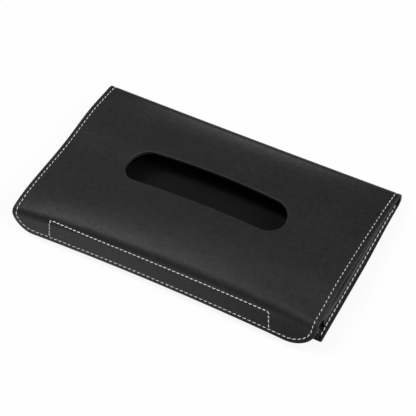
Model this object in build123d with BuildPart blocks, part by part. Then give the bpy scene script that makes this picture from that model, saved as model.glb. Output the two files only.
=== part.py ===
from build123d import *
from math import cos, radians, sin
import os

# A flat wrap-around tissue holder in soft leather, 230 mm long, lying on its back.
# One outer sheet runs under the back, round the spine at +Y, over the top as a lid with
# the tissue slot, round a soft bend at -Y and down the front as a flap. Side walls and a
# front wall stand on the back and hold the tissue pack. Two elastic bands cross the
# underside and hold the case on a sun visor.
# X runs along the case, +Y points to the spine, +Z is up, and the origin is at the middle
# of the space that the closed case takes on the surface it lies on. Millimetres.

os.makedirs("parts", exist_ok=True)

# Outer form
length = 230.0
back_depth = 121.0
spine_radius = 5.5
bend_radius = 6.0
bend_overhang = 1.0
lid_rise_angle = 14.0
flap_lean = 13.5
flap_drop = 17.5
flap_corner_radius = 15.0
back_corner_radius = 3.0

# Swell of the soft lid over its firm arc, a quarter, a half and three quarters of the way
# from the spine to the bend: the middle of the case rises, and its two ends sag as far as
# the tissue pack under them leaves room
lid_far_crown = 3.2
lid_crown = 4.0
lid_near_crown = 3.0
lid_far_sag = 0.0
lid_sag = 2.2
lid_near_sag = 4.0

# Plies
leather = 0.9
board = 1.0
lining = 0.4
glue_line = 0.05
hem_width = 7.0
board_clearance = 0.3
lining_inset = 1.2

# Tissue slot in the lid
slot_length = 122.0
slot_width = 25.5
slot_hem_width = 4.0

# Side walls and front wall
wall_board = 0.9
side_foot_inset = 2.3
side_lean = 8.0
side_height = 10.8
side_far_height = 2.4
side_taper_length = 38.0
side_far_gap = 9.0
side_near_gap = 10.5
side_corner_radius = 2.5
front_foot_inset = 2.9
front_lean = 19.0
front_height = 13.2
front_end_gap = 2.0
front_corner_radius = 4.0
flange_edge_gap = 0.5

# Magnets and the panel that holds those of the flap
magnet_length = 20.0
magnet_height = 7.0
magnet_end_inset = 60.0
magnet_clearance = 0.15
flap_magnet_thickness = 1.4
wall_magnet_rise = 8.2
flap_magnet_drop = 8.6
panel_skin = 0.7
panel_top_end_gap = 32.5
panel_foot_end_gap = 30.5
panel_top_drop = 1.2
panel_seam_margin = 1.6

# Thread
thread_width = 0.9
thread_rise = 0.25
lid_seam_inset = 3.5
base_seam_inset = 1.4
tack_length = 16.0
tack_gap = 2.0

# Elastic visor bands
band_width = 20.0
band_thickness = 1.0
band_end_inset = 45.0
band_near_inset = 14.0
band_far_inset = 12.0
band_tail = 9.0
band_clearance = 0.2

overrun = 5.0

# Places that follow from the sizes
back_bottom = band_thickness + glue_line
board_depth = leather + glue_line
lining_depth = board_depth + board + glue_line
stack = lining_depth + lining
back_top = back_bottom + board_depth + board
floor_top = back_bottom + stack

flap_reach = bend_overhang + bend_radius * cos(radians(flap_lean)) + flap_drop * sin(radians(flap_lean))
spine_y = (back_depth + flap_reach - thread_rise - glue_line) / 2
near_y = spine_y - back_depth
spine_center_y = spine_y - spine_radius
spine_center = (spine_center_y, back_bottom + spine_radius)
bend_y = near_y - bend_overhang
lid_radius = spine_radius + (spine_center_y - bend_y) / sin(radians(lid_rise_angle))
lid_center = (bend_y, spine_center[1] + (spine_radius - lid_radius) * cos(radians(lid_rise_angle)))
bend_center = (bend_y, lid_center[1] + lid_radius - bend_radius)
bend_top = bend_center[1] + bend_radius
slot_y = near_y + back_depth / 2

# Angles on the three curved stretches, counted from +Y towards +Z
back_angle = -90.0
lid_far_angle = 90.0 - lid_rise_angle
lid_near_angle = 90.0
flap_angle = 180.0 - flap_lean

# Stations of the lid's swell
lid_stations = (0, 0.25, 0.5, 0.75, 1)
lid_crowns = (0, lid_far_crown, lid_crown, lid_near_crown, 0)
lid_sags = (0, lid_far_sag, lid_sag, lid_near_sag, 0)
lid_station_angles = [
    lid_far_angle + (lid_near_angle - lid_far_angle) * station for station in lid_stations
]
lid_tangents = [
    (-sin(radians(angle)), cos(radians(angle))) for angle in (lid_far_angle, lid_near_angle)
]
flap_normal = (0.0, -cos(radians(flap_lean)), sin(radians(flap_lean)))
flap_plane = Plane(
    origin=(
        0,
        bend_y + bend_radius * flap_normal[1],
        bend_center[1] + bend_radius * flap_normal[2],
    ),
    x_dir=(1, 0, 0),
    z_dir=flap_normal,
)
foot_z = back_top + glue_line
front_foot_y = near_y + front_foot_inset
front_plane = Plane(
    origin=(0, front_foot_y, foot_z),
    x_dir=(1, 0, 0),
    z_dir=(0, -cos(radians(front_lean)), -sin(radians(front_lean))),
)
wall_thickness = 2 * leather + 2 * glue_line + wall_board
magnet_x = length / 2 - magnet_end_inset
panel_top_half = length / 2 - panel_top_end_gap
panel_foot_half = length / 2 - panel_foot_end_gap
band_x = length / 2 - band_end_inset
band_near_y = near_y + band_near_inset
band_far_y = spine_center_y - band_far_inset


# Sections and outlines that several plies share

def ring_section(plane, center, radius, angles, depths):
    """Section of a bent ply: the space between two depths under an arc."""
    start, end = angles
    with BuildSketch(plane) as section:
        with BuildLine():
            outer = CenterArc(center, radius - depths[0], start, end - start)
            inner = CenterArc(center, radius - depths[1], start, end - start)
            Line(outer @ 0, inner @ 0)
            Line(outer @ 1, inner @ 1)
        make_face()
    return section.sketch


def bent_ply(center, radius, angles, depths, half_length):
    """A bent ply that runs along X, as long on each side of the middle."""
    section = ring_section(Plane.YZ, center, radius, angles, depths)
    with BuildPart() as ply:
        extrude(section, amount=half_length, both=True)
    return ply.part


def lid_section(x, depths):
    """Section of a lid ply at x: two splines from the spine to the bend."""
    share = (2 * x / length) ** 2
    faces = []
    for depth in depths:
        points = []
        for angle, crown, sag in zip(lid_station_angles, lid_crowns, lid_sags):
            rise = crown - (crown + sag) * share
            reach = lid_radius - depth
            points.append(
                (
                    lid_center[0] + reach * cos(radians(angle)),
                    lid_center[1] + reach * sin(radians(angle)) + rise,
                )
            )
        faces.append(points)
    with BuildSketch(Plane.YZ.offset(x)) as section:
        with BuildLine():
            outer = Spline(*faces[0], tangents=lid_tangents)
            inner = Spline(*faces[1], tangents=lid_tangents)
            Line(outer @ 0, inner @ 0)
            Line(outer @ 1, inner @ 1)
        make_face()
    return section.sketch


def lid_ply(depths, half_length):
    """A ply of the swelling lid: a loft over its two ends and the middle."""
    sections = [lid_section(x, depths) for x in (-half_length, 0, half_length)]
    with BuildPart() as ply:
        loft(sections)
    return ply.part


def bent_threads(center, radius, angles):
    """The two seams along the ends of a bent stretch, proud of the leather."""
    with BuildPart() as threads:
        for side in (-1, 1):
            middle = side * (length / 2 - lid_seam_inset)
            section = ring_section(
                Plane.YZ.offset(middle - thread_width / 2),
                center,
                radius,
                angles,
                (-glue_line - thread_rise, -glue_line),
            )
            extrude(section, amount=thread_width, dir=(1, 0, 0))
    return threads.part


def slot_prism(grow):
    """The space over and under the tissue slot, with a margin round it."""
    with BuildPart() as prism:
        with BuildSketch(Plane.XY.offset(back_bottom)):
            with Locations((0, slot_y)):
                SlotOverall(slot_length + 2 * grow, slot_width + 2 * grow)
        extrude(amount=bend_top + lid_crown + overrun - back_bottom)
    return prism.part


def back_plate(bottom, top, side_inset, near_inset, corner):
    """A flat ply over the back, from its near edge to the start of the spine."""
    with BuildPart() as plate:
        with BuildSketch(Plane.XY.offset(bottom)) as outline:
            with Locations((0, near_y + near_inset)):
                Rectangle(
                    length - 2 * side_inset,
                    spine_center_y - near_y - near_inset,
                    align=(Align.CENTER, Align.MIN),
                )
            if corner > 0:
                fillet(outline.vertices().group_by(Axis.Y)[0], radius=corner)
        extrude(amount=top - bottom)
    return plate.part


def flap_outline(depth, inset, top_inset):
    """Outline of a flap ply, with its two free corners rounded."""
    with BuildSketch(flap_plane.offset(-depth)) as outline:
        with Locations((0, -top_inset)):
            Rectangle(
                length - 2 * inset,
                flap_drop - inset - top_inset,
                align=(Align.CENTER, Align.MAX),
            )
        corner = flap_corner_radius - inset
        if corner > 0:
            fillet(outline.vertices().sort_by(flap_plane.location.y_axis)[:2], radius=corner)
    return outline.sketch


def flap_plate(depths, inset, top_inset):
    """A flat ply of the flap between two depths under its outer face."""
    with BuildPart() as plate:
        extrude(
            flap_outline(depths[0], inset, top_inset),
            amount=depths[1] - depths[0],
            dir=-flap_plane.z_dir,
        )
    return plate.part


def band_pockets(grow, bottom, top):
    """The spaces that the tails of the two bands take on the inside of the back."""
    with BuildPart() as pockets:
        for side in (-1, 1):
            for end_y, inward in ((band_near_y, 1), (band_far_y, -1)):
                with Locations((side * band_x, end_y + inward * band_tail / 2, bottom)):
                    Box(
                        band_width + 2 * grow,
                        band_tail + 2 * grow,
                        top - bottom,
                        align=(Align.CENTER, Align.CENTER, Align.MIN),
                    )
    return pockets.part


def band_slits():
    """The slits in the outer sheet through which the bands go in."""
    with BuildPart() as slits:
        for side in (-1, 1):
            for end_y, inward in ((band_near_y, 1), (band_far_y, -1)):
                middle_y = end_y + inward * band_thickness / 2
                with Locations((side * band_x, middle_y, back_bottom)):
                    Box(
                        band_width + 2 * band_clearance,
                        band_thickness + 2 * band_clearance,
                        leather,
                        align=(Align.CENTER, Align.CENTER, Align.MIN),
                    )
    return slits.part


def wall_outline(plane, points, corner):
    """Outline of a standing wall, drawn from foot to foot."""
    with BuildSketch(plane) as outline:
        with BuildLine():
            Polyline(*points, close=True)
        make_face()
        top = outline.vertices().sort_by(plane.location.y_axis)[-2:]
        if corner > 0:
            fillet(top, radius=corner)
    return outline.sketch


# Back: outer sheet, stiffening board and lining

with BuildPart() as back_cover:
    add(back_plate(back_bottom, back_top, 0, 0, back_corner_radius))
    add(
        back_plate(back_bottom + leather, back_top, hem_width, hem_width, 0),
        mode=Mode.SUBTRACT,
    )
    add(band_slits(), mode=Mode.SUBTRACT)
back_cover.part.label = "back_cover"
export_step(back_cover.part, "parts/back_cover.step")

board_inset = hem_width + board_clearance
with BuildPart() as back_board:
    add(back_plate(back_bottom + board_depth, back_top, board_inset, board_inset, 0))
    add(
        band_pockets(band_clearance, back_bottom + leather, back_top),
        mode=Mode.SUBTRACT,
    )
back_board.part.label = "back_board"
export_step(back_board.part, "parts/back_board.step")

# The lining lies between the feet of the walls.
side_foot_inner = side_foot_inset + wall_thickness / cos(radians(side_lean))
front_foot_inner = front_foot_inset + wall_thickness / cos(radians(front_lean))
with BuildPart() as back_lining:
    add(
        back_plate(
            back_bottom + lining_depth,
            floor_top,
            side_foot_inner + board_clearance,
            front_foot_inner + board_clearance,
            0,
        )
    )
back_lining.part.label = "back_lining"
export_step(back_lining.part, "parts/back_lining.step")


# Elastic bands: each lies flat under the back, goes up through a slit at each end and
# ends in a tail on the inside, held by a bar of stitches

for name, side in (("left", -1), ("right", 1)):
    with BuildPart() as band:
        with BuildSketch(Plane.YZ.offset(side * band_x)) as section:
            with Locations((band_near_y, 0)):
                Rectangle(
                    band_far_y - band_near_y,
                    band_thickness,
                    align=(Align.MIN, Align.MIN),
                )
            tail_bottom = back_bottom + leather + glue_line
            tail_top = tail_bottom + band_thickness - glue_line
            for end_y, align in ((band_near_y, Align.MIN), (band_far_y, Align.MAX)):
                with Locations((end_y, 0)):
                    Rectangle(band_thickness, tail_top, align=(align, Align.MIN))
                with Locations((end_y, tail_bottom)):
                    Rectangle(band_tail, tail_top - tail_bottom, align=(align, Align.MIN))
        extrude(amount=band_width / 2, both=True)
    band.part.label = f"elastic_band_{name}"
    export_step(band.part, f"parts/elastic_band_{name}.step")

with BuildPart() as band_tacks:
    for side in (-1, 1):
        for end_y, outward in ((band_near_y, -1), (band_far_y, 1)):
            middle_y = end_y + outward * tack_gap
            with Locations((side * band_x, middle_y, back_bottom - glue_line)):
                Box(
                    tack_length,
                    thread_width,
                    thread_rise,
                    align=(Align.CENTER, Align.CENTER, Align.MAX),
                )
band_tacks.part.label = "band_tacks"
export_step(band_tacks.part, "parts/band_tacks.step")


# Side walls: a strip folded over a board, with its flange turned out on the back's hem

side_near_y = near_y + side_near_gap
side_far_y = spine_center_y - side_far_gap
side_foot_x = length / 2 - side_foot_inset
pocket_depth = leather
pocket_thickness = wall_board + 2 * glue_line


def side_points(inset):
    """Foot to foot round a side wall: full height near the front, low at the spine."""
    return [
        (side_near_y + inset, -overrun),
        (side_near_y + inset, side_height - inset),
        (side_far_y - side_taper_length, side_height - inset),
        (side_far_y - inset, side_far_height - inset),
        (side_far_y - inset, -overrun),
    ]


for name, side in (("left", -1), ("right", 1)):
    side_plane = Plane(
        origin=(side * side_foot_x, 0, foot_z),
        x_dir=(0, side, 0),
        z_dir=(side * cos(radians(side_lean)), 0, -sin(radians(side_lean))),
    )
    outline = [(side * y, z) for y, z in side_points(0)]
    inner_outline = [(side * y, z) for y, z in side_points(leather + glue_line)]
    board_outline = [(side * y, z) for y, z in side_points(leather + 2 * glue_line)]
    flange_x = side * (length / 2 - flange_edge_gap)
    with BuildPart() as side_wall:
        extrude(
            wall_outline(side_plane, outline, side_corner_radius),
            amount=wall_thickness,
            dir=-side_plane.z_dir,
        )
        extrude(
            wall_outline(
                side_plane.offset(-pocket_depth),
                inner_outline,
                side_corner_radius - leather,
            ),
            amount=pocket_thickness,
            dir=-side_plane.z_dir,
            mode=Mode.SUBTRACT,
        )
        split(bisect_by=Plane.XY.offset(foot_z), keep=Keep.TOP)
        with BuildSketch(Plane.XY.offset(foot_z)):
            with Locations((side * (side_foot_x - leather), side_near_y)):
                Rectangle(
                    length / 2 - flange_edge_gap - side_foot_x + leather,
                    side_far_y - side_near_y,
                    align=(Align.MIN if side > 0 else Align.MAX, Align.MIN),
                )
        extrude(amount=leather)
    side_wall.part.label = f"{name}_side_wall"
    export_step(side_wall.part, f"parts/{name}_side_wall.step")

    with BuildPart() as side_board:
        extrude(
            wall_outline(
                side_plane.offset(-pocket_depth - glue_line),
                board_outline,
                side_corner_radius - leather,
            ),
            amount=wall_board,
            dir=-side_plane.z_dir,
        )
        split(bisect_by=Plane.XY.offset(foot_z + leather + glue_line), keep=Keep.TOP)
    side_board.part.label = f"{name}_side_board"
    export_step(side_board.part, f"parts/{name}_side_board.step")


# Front wall: the same folded strip, leaning out to meet the flap's magnets

front_half = length / 2 - front_end_gap


def front_points(inset):
    """Foot to foot round the front wall."""
    return [
        (-front_half + inset, -overrun),
        (-front_half + inset, front_height - inset),
        (front_half - inset, front_height - inset),
        (front_half - inset, -overrun),
    ]


def wall_magnet_cut(grow, depth, thickness):
    """The two magnets' places in the front wall's board."""
    with BuildPart() as cut:
        with BuildSketch(front_plane.offset(-depth)):
            with Locations((-magnet_x, wall_magnet_rise), (magnet_x, wall_magnet_rise)):
                Rectangle(magnet_length + 2 * grow, magnet_height + 2 * grow)
        extrude(amount=thickness, dir=-front_plane.z_dir)
    return cut.part


with BuildPart() as front_wall:
    extrude(
        wall_outline(front_plane, front_points(0), front_corner_radius),
        amount=wall_thickness,
        dir=-front_plane.z_dir,
    )
    extrude(
        wall_outline(
            front_plane.offset(-pocket_depth),
            front_points(leather + glue_line),
            front_corner_radius - leather,
        ),
        amount=pocket_thickness,
        dir=-front_plane.z_dir,
        mode=Mode.SUBTRACT,
    )
    split(bisect_by=Plane.XY.offset(foot_z), keep=Keep.TOP)
    with BuildSketch(Plane.XY.offset(foot_z)):
        with Locations((0, near_y + flange_edge_gap)):
            Rectangle(
                2 * front_half,
                front_foot_inset - flange_edge_gap + leather,
                align=(Align.CENTER, Align.MIN),
            )
    extrude(amount=leather)
front_wall.part.label = "front_wall"
export_step(front_wall.part, "parts/front_wall.step")

with BuildPart() as front_wall_board:
    extrude(
        wall_outline(
            front_plane.offset(-pocket_depth - glue_line),
            front_points(leather + 2 * glue_line),
            front_corner_radius - leather,
        ),
        amount=wall_board,
        dir=-front_plane.z_dir,
    )
    split(bisect_by=Plane.XY.offset(foot_z + leather + glue_line), keep=Keep.TOP)
    add(
        wall_magnet_cut(magnet_clearance, pocket_depth, pocket_thickness),
        mode=Mode.SUBTRACT,
    )
front_wall_board.part.label = "front_wall_board"
export_step(front_wall_board.part, "parts/front_wall_board.step")

with BuildPart() as wall_magnets:
    add(wall_magnet_cut(0, pocket_depth + glue_line, wall_board))
wall_magnets.part.label = "wall_magnets"
export_step(wall_magnets.part, "parts/wall_magnets.step")


# Seam that joins the walls' flanges to the back: one row shows on the flanges and one
# under the back

flange_top = foot_z + leather
base_row_x = length / 2 - base_seam_inset
base_row_y = near_y + base_seam_inset
with BuildPart() as base_seam:
    for bottom, row_near, row_far in (
        (flange_top + glue_line, side_near_y, side_far_y),
        (back_bottom - glue_line - thread_rise, base_row_y + thread_width, spine_center_y),
    ):
        for side in (-1, 1):
            with Locations((side * base_row_x, row_near, bottom)):
                Box(
                    thread_width,
                    row_far - row_near,
                    thread_rise,
                    align=(Align.CENTER, Align.MIN, Align.MIN),
                )
        with Locations((0, base_row_y, bottom)):
            Box(
                2 * (front_half - base_seam_inset),
                thread_width,
                thread_rise,
                align=(Align.CENTER, Align.CENTER, Align.MIN),
            )
base_seam.part.label = "base_seam"
export_step(base_seam.part, "parts/base_seam.step")


# Spine: the outer sheet and the lining turn back over themselves

with BuildPart() as spine_cover:
    add(bent_ply(spine_center, spine_radius, (back_angle, lid_far_angle), (0, leather), length / 2))
spine_cover.part.label = "spine_cover"
export_step(spine_cover.part, "parts/spine_cover.step")

with BuildPart() as spine_lining:
    add(
        bent_ply(
            spine_center,
            spine_radius,
            (back_angle, lid_far_angle),
            (board_depth, board_depth + lining),
            length / 2 - lining_inset,
        )
    )
spine_lining.part.label = "spine_lining"
export_step(spine_lining.part, "parts/spine_lining.step")

with BuildPart() as spine_seams:
    add(bent_threads(spine_center, spine_radius, (back_angle, lid_far_angle)))
spine_seams.part.label = "spine_seams"
export_step(spine_seams.part, "parts/spine_seams.step")


# Lid: outer sheet with its turned-in hems, board and lining, all with the tissue slot

with BuildPart() as lid_cover:
    add(lid_ply((0, board_depth + board), length / 2))
    with BuildPart(mode=Mode.PRIVATE) as lid_pocket:
        add(lid_ply((leather, stack), length / 2 - hem_width))
        add(slot_prism(slot_hem_width), mode=Mode.SUBTRACT)
    add(lid_pocket.part, mode=Mode.SUBTRACT)
    add(slot_prism(0), mode=Mode.SUBTRACT)
lid_cover.part.label = "lid_cover"
export_step(lid_cover.part, "parts/lid_cover.step")

with BuildPart() as lid_board:
    add(lid_ply((board_depth, board_depth + board), length / 2 - board_inset))
    add(slot_prism(slot_hem_width + board_clearance), mode=Mode.SUBTRACT)
lid_board.part.label = "lid_board"
export_step(lid_board.part, "parts/lid_board.step")

with BuildPart() as lid_lining:
    add(lid_ply((lining_depth, stack), length / 2 - lining_inset))
    add(slot_prism(0), mode=Mode.SUBTRACT)
lid_lining.part.label = "lid_lining"
export_step(lid_lining.part, "parts/lid_lining.step")

with BuildPart() as lid_seams:
    for side in (-1, 1):
        row_x = side * (length / 2 - lid_seam_inset)
        row_depths = (-glue_line - thread_rise, -glue_line)
        loft([lid_section(row_x + end * thread_width / 2, row_depths) for end in (-1, 1)])
lid_seams.part.label = "lid_seams"
export_step(lid_seams.part, "parts/lid_seams.step")


# Near bend between the lid and the flap

bend_angles = (lid_near_angle, flap_angle)
with BuildPart() as bend_cover:
    add(bent_ply(bend_center, bend_radius, bend_angles, (0, leather), length / 2))
bend_cover.part.label = "bend_cover"
export_step(bend_cover.part, "parts/bend_cover.step")

with BuildPart() as bend_lining:
    add(
        bent_ply(
            bend_center,
            bend_radius,
            bend_angles,
            (board_depth, board_depth + lining),
            length / 2 - lining_inset,
        )
    )
bend_lining.part.label = "bend_lining"
export_step(bend_lining.part, "parts/bend_lining.step")

with BuildPart() as bend_seams:
    add(bent_threads(bend_center, bend_radius, bend_angles))
bend_seams.part.label = "bend_seams"
export_step(bend_seams.part, "parts/bend_seams.step")


# Flap: outer sheet with its hem, board, lining, and the panel that holds the magnets

with BuildPart() as flap_cover:
    add(flap_plate((0, board_depth + board), 0, 0))
    add(flap_plate((leather, board_depth + board), hem_width, 0), mode=Mode.SUBTRACT)
flap_cover.part.label = "flap_cover"
export_step(flap_cover.part, "parts/flap_cover.step")

with BuildPart() as flap_board:
    add(flap_plate((board_depth, board_depth + board), board_inset, board_clearance))
flap_board.part.label = "flap_board"
export_step(flap_board.part, "parts/flap_board.step")

with BuildPart() as flap_lining:
    add(flap_plate((lining_depth, stack), lining_inset, 0))
flap_lining.part.label = "flap_lining"
export_step(flap_lining.part, "parts/flap_lining.step")

panel_depth = stack + glue_line
panel_foot_drop = flap_drop - lid_seam_inset
magnet_pocket = flap_magnet_thickness + 2 * glue_line


def panel_outline(depth, grow):
    """The trapezoid of the flap's sewn panel, with a margin round its seam."""
    with BuildSketch(flap_plane.offset(-depth)) as outline:
        with BuildLine():
            Polyline(
                (-panel_top_half - grow, -panel_top_drop + grow),
                (panel_top_half + grow, -panel_top_drop + grow),
                (panel_foot_half + grow, -panel_foot_drop - grow),
                (-panel_foot_half - grow, -panel_foot_drop - grow),
                close=True,
            )
        make_face()
    return outline.sketch


def flap_magnet_blocks(grow, depth, thickness):
    """The flap's two magnets, or their places in the panel."""
    with BuildPart() as blocks:
        with BuildSketch(flap_plane.offset(-depth)):
            with Locations((-magnet_x, -flap_magnet_drop), (magnet_x, -flap_magnet_drop)):
                Rectangle(magnet_length + 2 * grow, magnet_height + 2 * grow)
        extrude(amount=thickness, dir=-flap_plane.z_dir)
    return blocks.part


with BuildPart() as magnet_panel:
    extrude(
        panel_outline(panel_depth, panel_seam_margin - thread_width),
        amount=magnet_pocket + panel_skin,
        dir=-flap_plane.z_dir,
    )
    add(
        flap_magnet_blocks(magnet_clearance, panel_depth, magnet_pocket),
        mode=Mode.SUBTRACT,
    )
magnet_panel.part.label = "magnet_panel"
export_step(magnet_panel.part, "parts/magnet_panel.step")

with BuildPart() as flap_magnets:
    add(flap_magnet_blocks(0, panel_depth + glue_line, flap_magnet_thickness))
flap_magnets.part.label = "flap_magnets"
export_step(flap_magnets.part, "parts/flap_magnets.step")

row_depth = -glue_line - thread_rise
with BuildPart() as flap_edge_seam:
    extrude(
        flap_outline(row_depth, lid_seam_inset - thread_width / 2, 0),
        amount=thread_rise,
        dir=-flap_plane.z_dir,
    )
    extrude(
        flap_outline(row_depth, lid_seam_inset + thread_width / 2, 0),
        amount=thread_rise,
        dir=-flap_plane.z_dir,
        mode=Mode.SUBTRACT,
    )
flap_edge_seam.part.label = "flap_edge_seam"
export_step(flap_edge_seam.part, "parts/flap_edge_seam.step")

with BuildPart() as flap_panel_seam:
    extrude(
        panel_outline(row_depth, thread_width / 2),
        amount=thread_rise,
        dir=-flap_plane.z_dir,
    )
    extrude(
        panel_outline(row_depth, -thread_width / 2),
        amount=thread_rise,
        dir=-flap_plane.z_dir,
        mode=Mode.SUBTRACT,
    )
    # The panel's lower side is sewn by the flap's own edge seam.
    foot_row = flap_outline(row_depth, lid_seam_inset - thread_width, 0)
    inside_row = flap_outline(row_depth, lid_seam_inset + thread_width, 0)
    extrude(foot_row - inside_row, amount=thread_rise, dir=-flap_plane.z_dir, mode=Mode.SUBTRACT)
flap_panel_seam.part.label = "flap_panel_seam"
export_step(flap_panel_seam.part, "parts/flap_panel_seam.step")

print("spine y", round(spine_y, 3), "near edge y", round(near_y, 3), "back bottom z", round(back_bottom, 3))
print("bend top z", round(bend_top, 3), "lid radius", round(lid_radius, 1), "slot y", round(slot_y, 3))
print("bend centre", [round(v, 3) for v in bend_center], "spine centre", [round(v, 3) for v in spine_center])
hinge_angle = radians((lid_near_angle + flap_angle) / 2)
hinge_point = (bend_y + bend_radius * cos(hinge_angle), bend_center[1] + bend_radius * sin(hinge_angle))
print("flap fold line y, z", [round(v, 3) for v in hinge_point])
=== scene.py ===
# %% [markdown]
# A leather tissue case, piece by piece.
# The real case is one sheet of black synthetic leather that wraps round a pack of tissues:
# back, spine, lid with a slot, soft near bend and flap. Boards stiffen it, a thin lining
# backs it, white thread sews it, and two elastic bands hold it on a sun visor.
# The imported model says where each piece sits. Everything here is worked out in millimetres
# from that model, and turned into metres when a mesh is made.

import bpy
import numpy as np
from mathutils import Matrix, Vector


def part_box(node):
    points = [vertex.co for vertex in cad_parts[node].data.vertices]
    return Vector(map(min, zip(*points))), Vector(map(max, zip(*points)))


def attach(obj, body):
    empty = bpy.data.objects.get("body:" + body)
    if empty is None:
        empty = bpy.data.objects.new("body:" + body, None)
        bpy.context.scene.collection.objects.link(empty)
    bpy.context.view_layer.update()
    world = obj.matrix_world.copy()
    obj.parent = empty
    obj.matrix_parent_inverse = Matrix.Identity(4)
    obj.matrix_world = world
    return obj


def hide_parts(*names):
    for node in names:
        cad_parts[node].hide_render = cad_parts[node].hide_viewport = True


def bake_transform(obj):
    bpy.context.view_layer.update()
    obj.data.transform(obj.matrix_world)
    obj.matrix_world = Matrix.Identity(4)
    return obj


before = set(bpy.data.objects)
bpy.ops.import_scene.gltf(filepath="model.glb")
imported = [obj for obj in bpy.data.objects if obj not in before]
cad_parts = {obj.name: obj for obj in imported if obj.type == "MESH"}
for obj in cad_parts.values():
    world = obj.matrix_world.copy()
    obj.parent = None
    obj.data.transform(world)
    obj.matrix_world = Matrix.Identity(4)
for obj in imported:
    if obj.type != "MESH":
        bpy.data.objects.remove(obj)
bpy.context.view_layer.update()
MM = 0.001


def corners(node):
    """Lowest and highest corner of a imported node, in millimetres."""
    return [np.array(corner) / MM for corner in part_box(node)]


# %% [markdown]
# The camera stands where the photographer stood: high in front of the right end, with a
# long lens, and turned a little about its own axis. It is made first, so that every later
# step can be looked at.

# %% Camera at the photograph's angle
CAMERA_TARGET = Vector((-2.05, 4.9, 1.05))
CAMERA_AZIMUTH = np.radians(39.27)
CAMERA_ELEVATION = np.radians(55.03)
CAMERA_ROLL = np.radians(-12.0)
CAMERA_DISTANCE = 1113.3
CAMERA_LENS = 140.93
SENSOR = 36.0
CLIP_RATIO = 20


def add_object(name, data):
    """An object at the origin, linked to the scene."""
    made = bpy.data.objects.new(name, data)
    bpy.context.scene.collection.objects.link(made)
    return made


def make_camera():
    """It starts straight above its target. The roll turns it about its own axis, the
    elevation tips it and the azimuth carries it round."""
    camera = add_object("camera", bpy.data.cameras.new("camera"))
    camera.data.lens = CAMERA_LENS
    camera.data.sensor_width = SENSOR
    camera.data.clip_start = CAMERA_DISTANCE * MM / CLIP_RATIO
    camera.data.clip_end = CAMERA_DISTANCE * MM * CLIP_RATIO
    camera.matrix_world = (
        Matrix.Translation(CAMERA_TARGET * MM)
        @ Matrix.Rotation(CAMERA_AZIMUTH, 4, "Z")
        @ Matrix.Rotation(np.pi / 2 - CAMERA_ELEVATION, 4, "X")
        @ Matrix.Rotation(CAMERA_ROLL, 4, "Z")
        @ Matrix.Translation((0, 0, CAMERA_DISTANCE * MM))
    )
    bpy.context.scene.camera = camera


make_camera()
print("camera at", [round(v, 3) for v in bpy.context.scene.camera.matrix_world.translation])

# %% [markdown]
# Every ply of the case follows one sheet. A point of the sheet has two numbers: x along
# the case, and s, the way walked round the section from the back's near edge, under the
# back, round the spine, over the lid, round the near bend and down the flap. The firm
# section is made of straight and round stretches, which meet with no corner.

# %% Sizes of the section, read from the frame
back_low, back_high = corners("back_cover")
half = back_high[0]
near_y, spine_y, back_z = back_low[1], back_high[1], back_low[2]
spine_radius = corners("spine_cover")[1][1] - spine_y
crest_z = corners("bend_cover")[1][2]
bend_y = corners("bend_cover")[1][1]
bend_radius = 6.0
lid_rise = np.radians(14.0)
flap_lean = np.radians(13.5)
flap_drop = 17.5
lid_radius = spine_radius + (spine_y - bend_y) / np.sin(lid_rise)

S_SPINE = spine_y - near_y
S_LID = S_SPINE + spine_radius * (np.pi - lid_rise)
S_BEND = S_LID + lid_radius * lid_rise
S_FLAP = S_BEND + bend_radius * (np.pi / 2 - flap_lean)
S_END = S_FLAP + flap_drop
LID_RUN = S_BEND - S_LID
print("sheet runs", round(S_END, 1), "mm round the section, lid", round(LID_RUN, 1))

ROUND_STRETCHES = (
    (S_SPINE, spine_radius, -np.pi / 2, (spine_y, back_z + spine_radius)),
    (S_LID, lid_radius, np.pi / 2 - lid_rise, (bend_y, crest_z - lid_radius)),
    (S_BEND, bend_radius, np.pi / 2, (bend_y, crest_z - bend_radius)),
)


def section(s):
    """Firm section: y and z at s. A straight stretch adds s along its line, and a round
    one turns its radius about its centre by the way walked over that radius."""
    y, z = near_y + s, back_z + 0 * s
    for start, radius, angle, centre in ROUND_STRETCHES:
        turn = angle + (s - start) / radius
        y = np.where(s < start, y, centre[0] + radius * np.cos(turn))
        z = np.where(s < start, z, centre[1] + radius * np.sin(turn))
    down = s - S_FLAP
    flap_y = bend_y - bend_radius * np.cos(flap_lean) - down * np.sin(flap_lean)
    flap_z = crest_z - bend_radius * (1 - np.sin(flap_lean)) - down * np.cos(flap_lean)
    return np.where(down < 0, y, flap_y), np.where(down < 0, z, flap_z)


# %% [markdown]
# Soft leather doesn't keep to a firm section. The tissues push the middle of the lid up,
# its two ends sag, and the near bend hangs lower at the right end than at the left. These
# rises are given at a few stations along s, for the left end, the middle and the
# right end. Along s they are joined by a cubic, the shape that a springy strip takes
# through pins, and along x by a parabola.

# %% The soft form
LID_SHARES = np.array([0, 0.2, 0.5, 0.77, 1])
STATIONS = np.r_[S_SPINE - 6.0, S_SPINE, S_LID + LID_SHARES * LID_RUN, S_END]
RISE = np.zeros((len(STATIONS), 3))
RISE[2:] = [
    [-1.5, -2.0, -1.0],
    [-2.3, 3.5, -2.2],
    [-6.2, 4.2, -3.5],
    [-4.4, 3.3, -4.5],
    [-3.5, 2.9, -5.7],
    [-6.2, 3.9, 3.7],
]
OUTWARD = np.zeros_like(RISE)
OUTWARD[-3:] = [[-2.1, 0.3, 1.7], [1.9, -1.0, 2.4], [3.2, -1.3, -3.2]]


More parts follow.
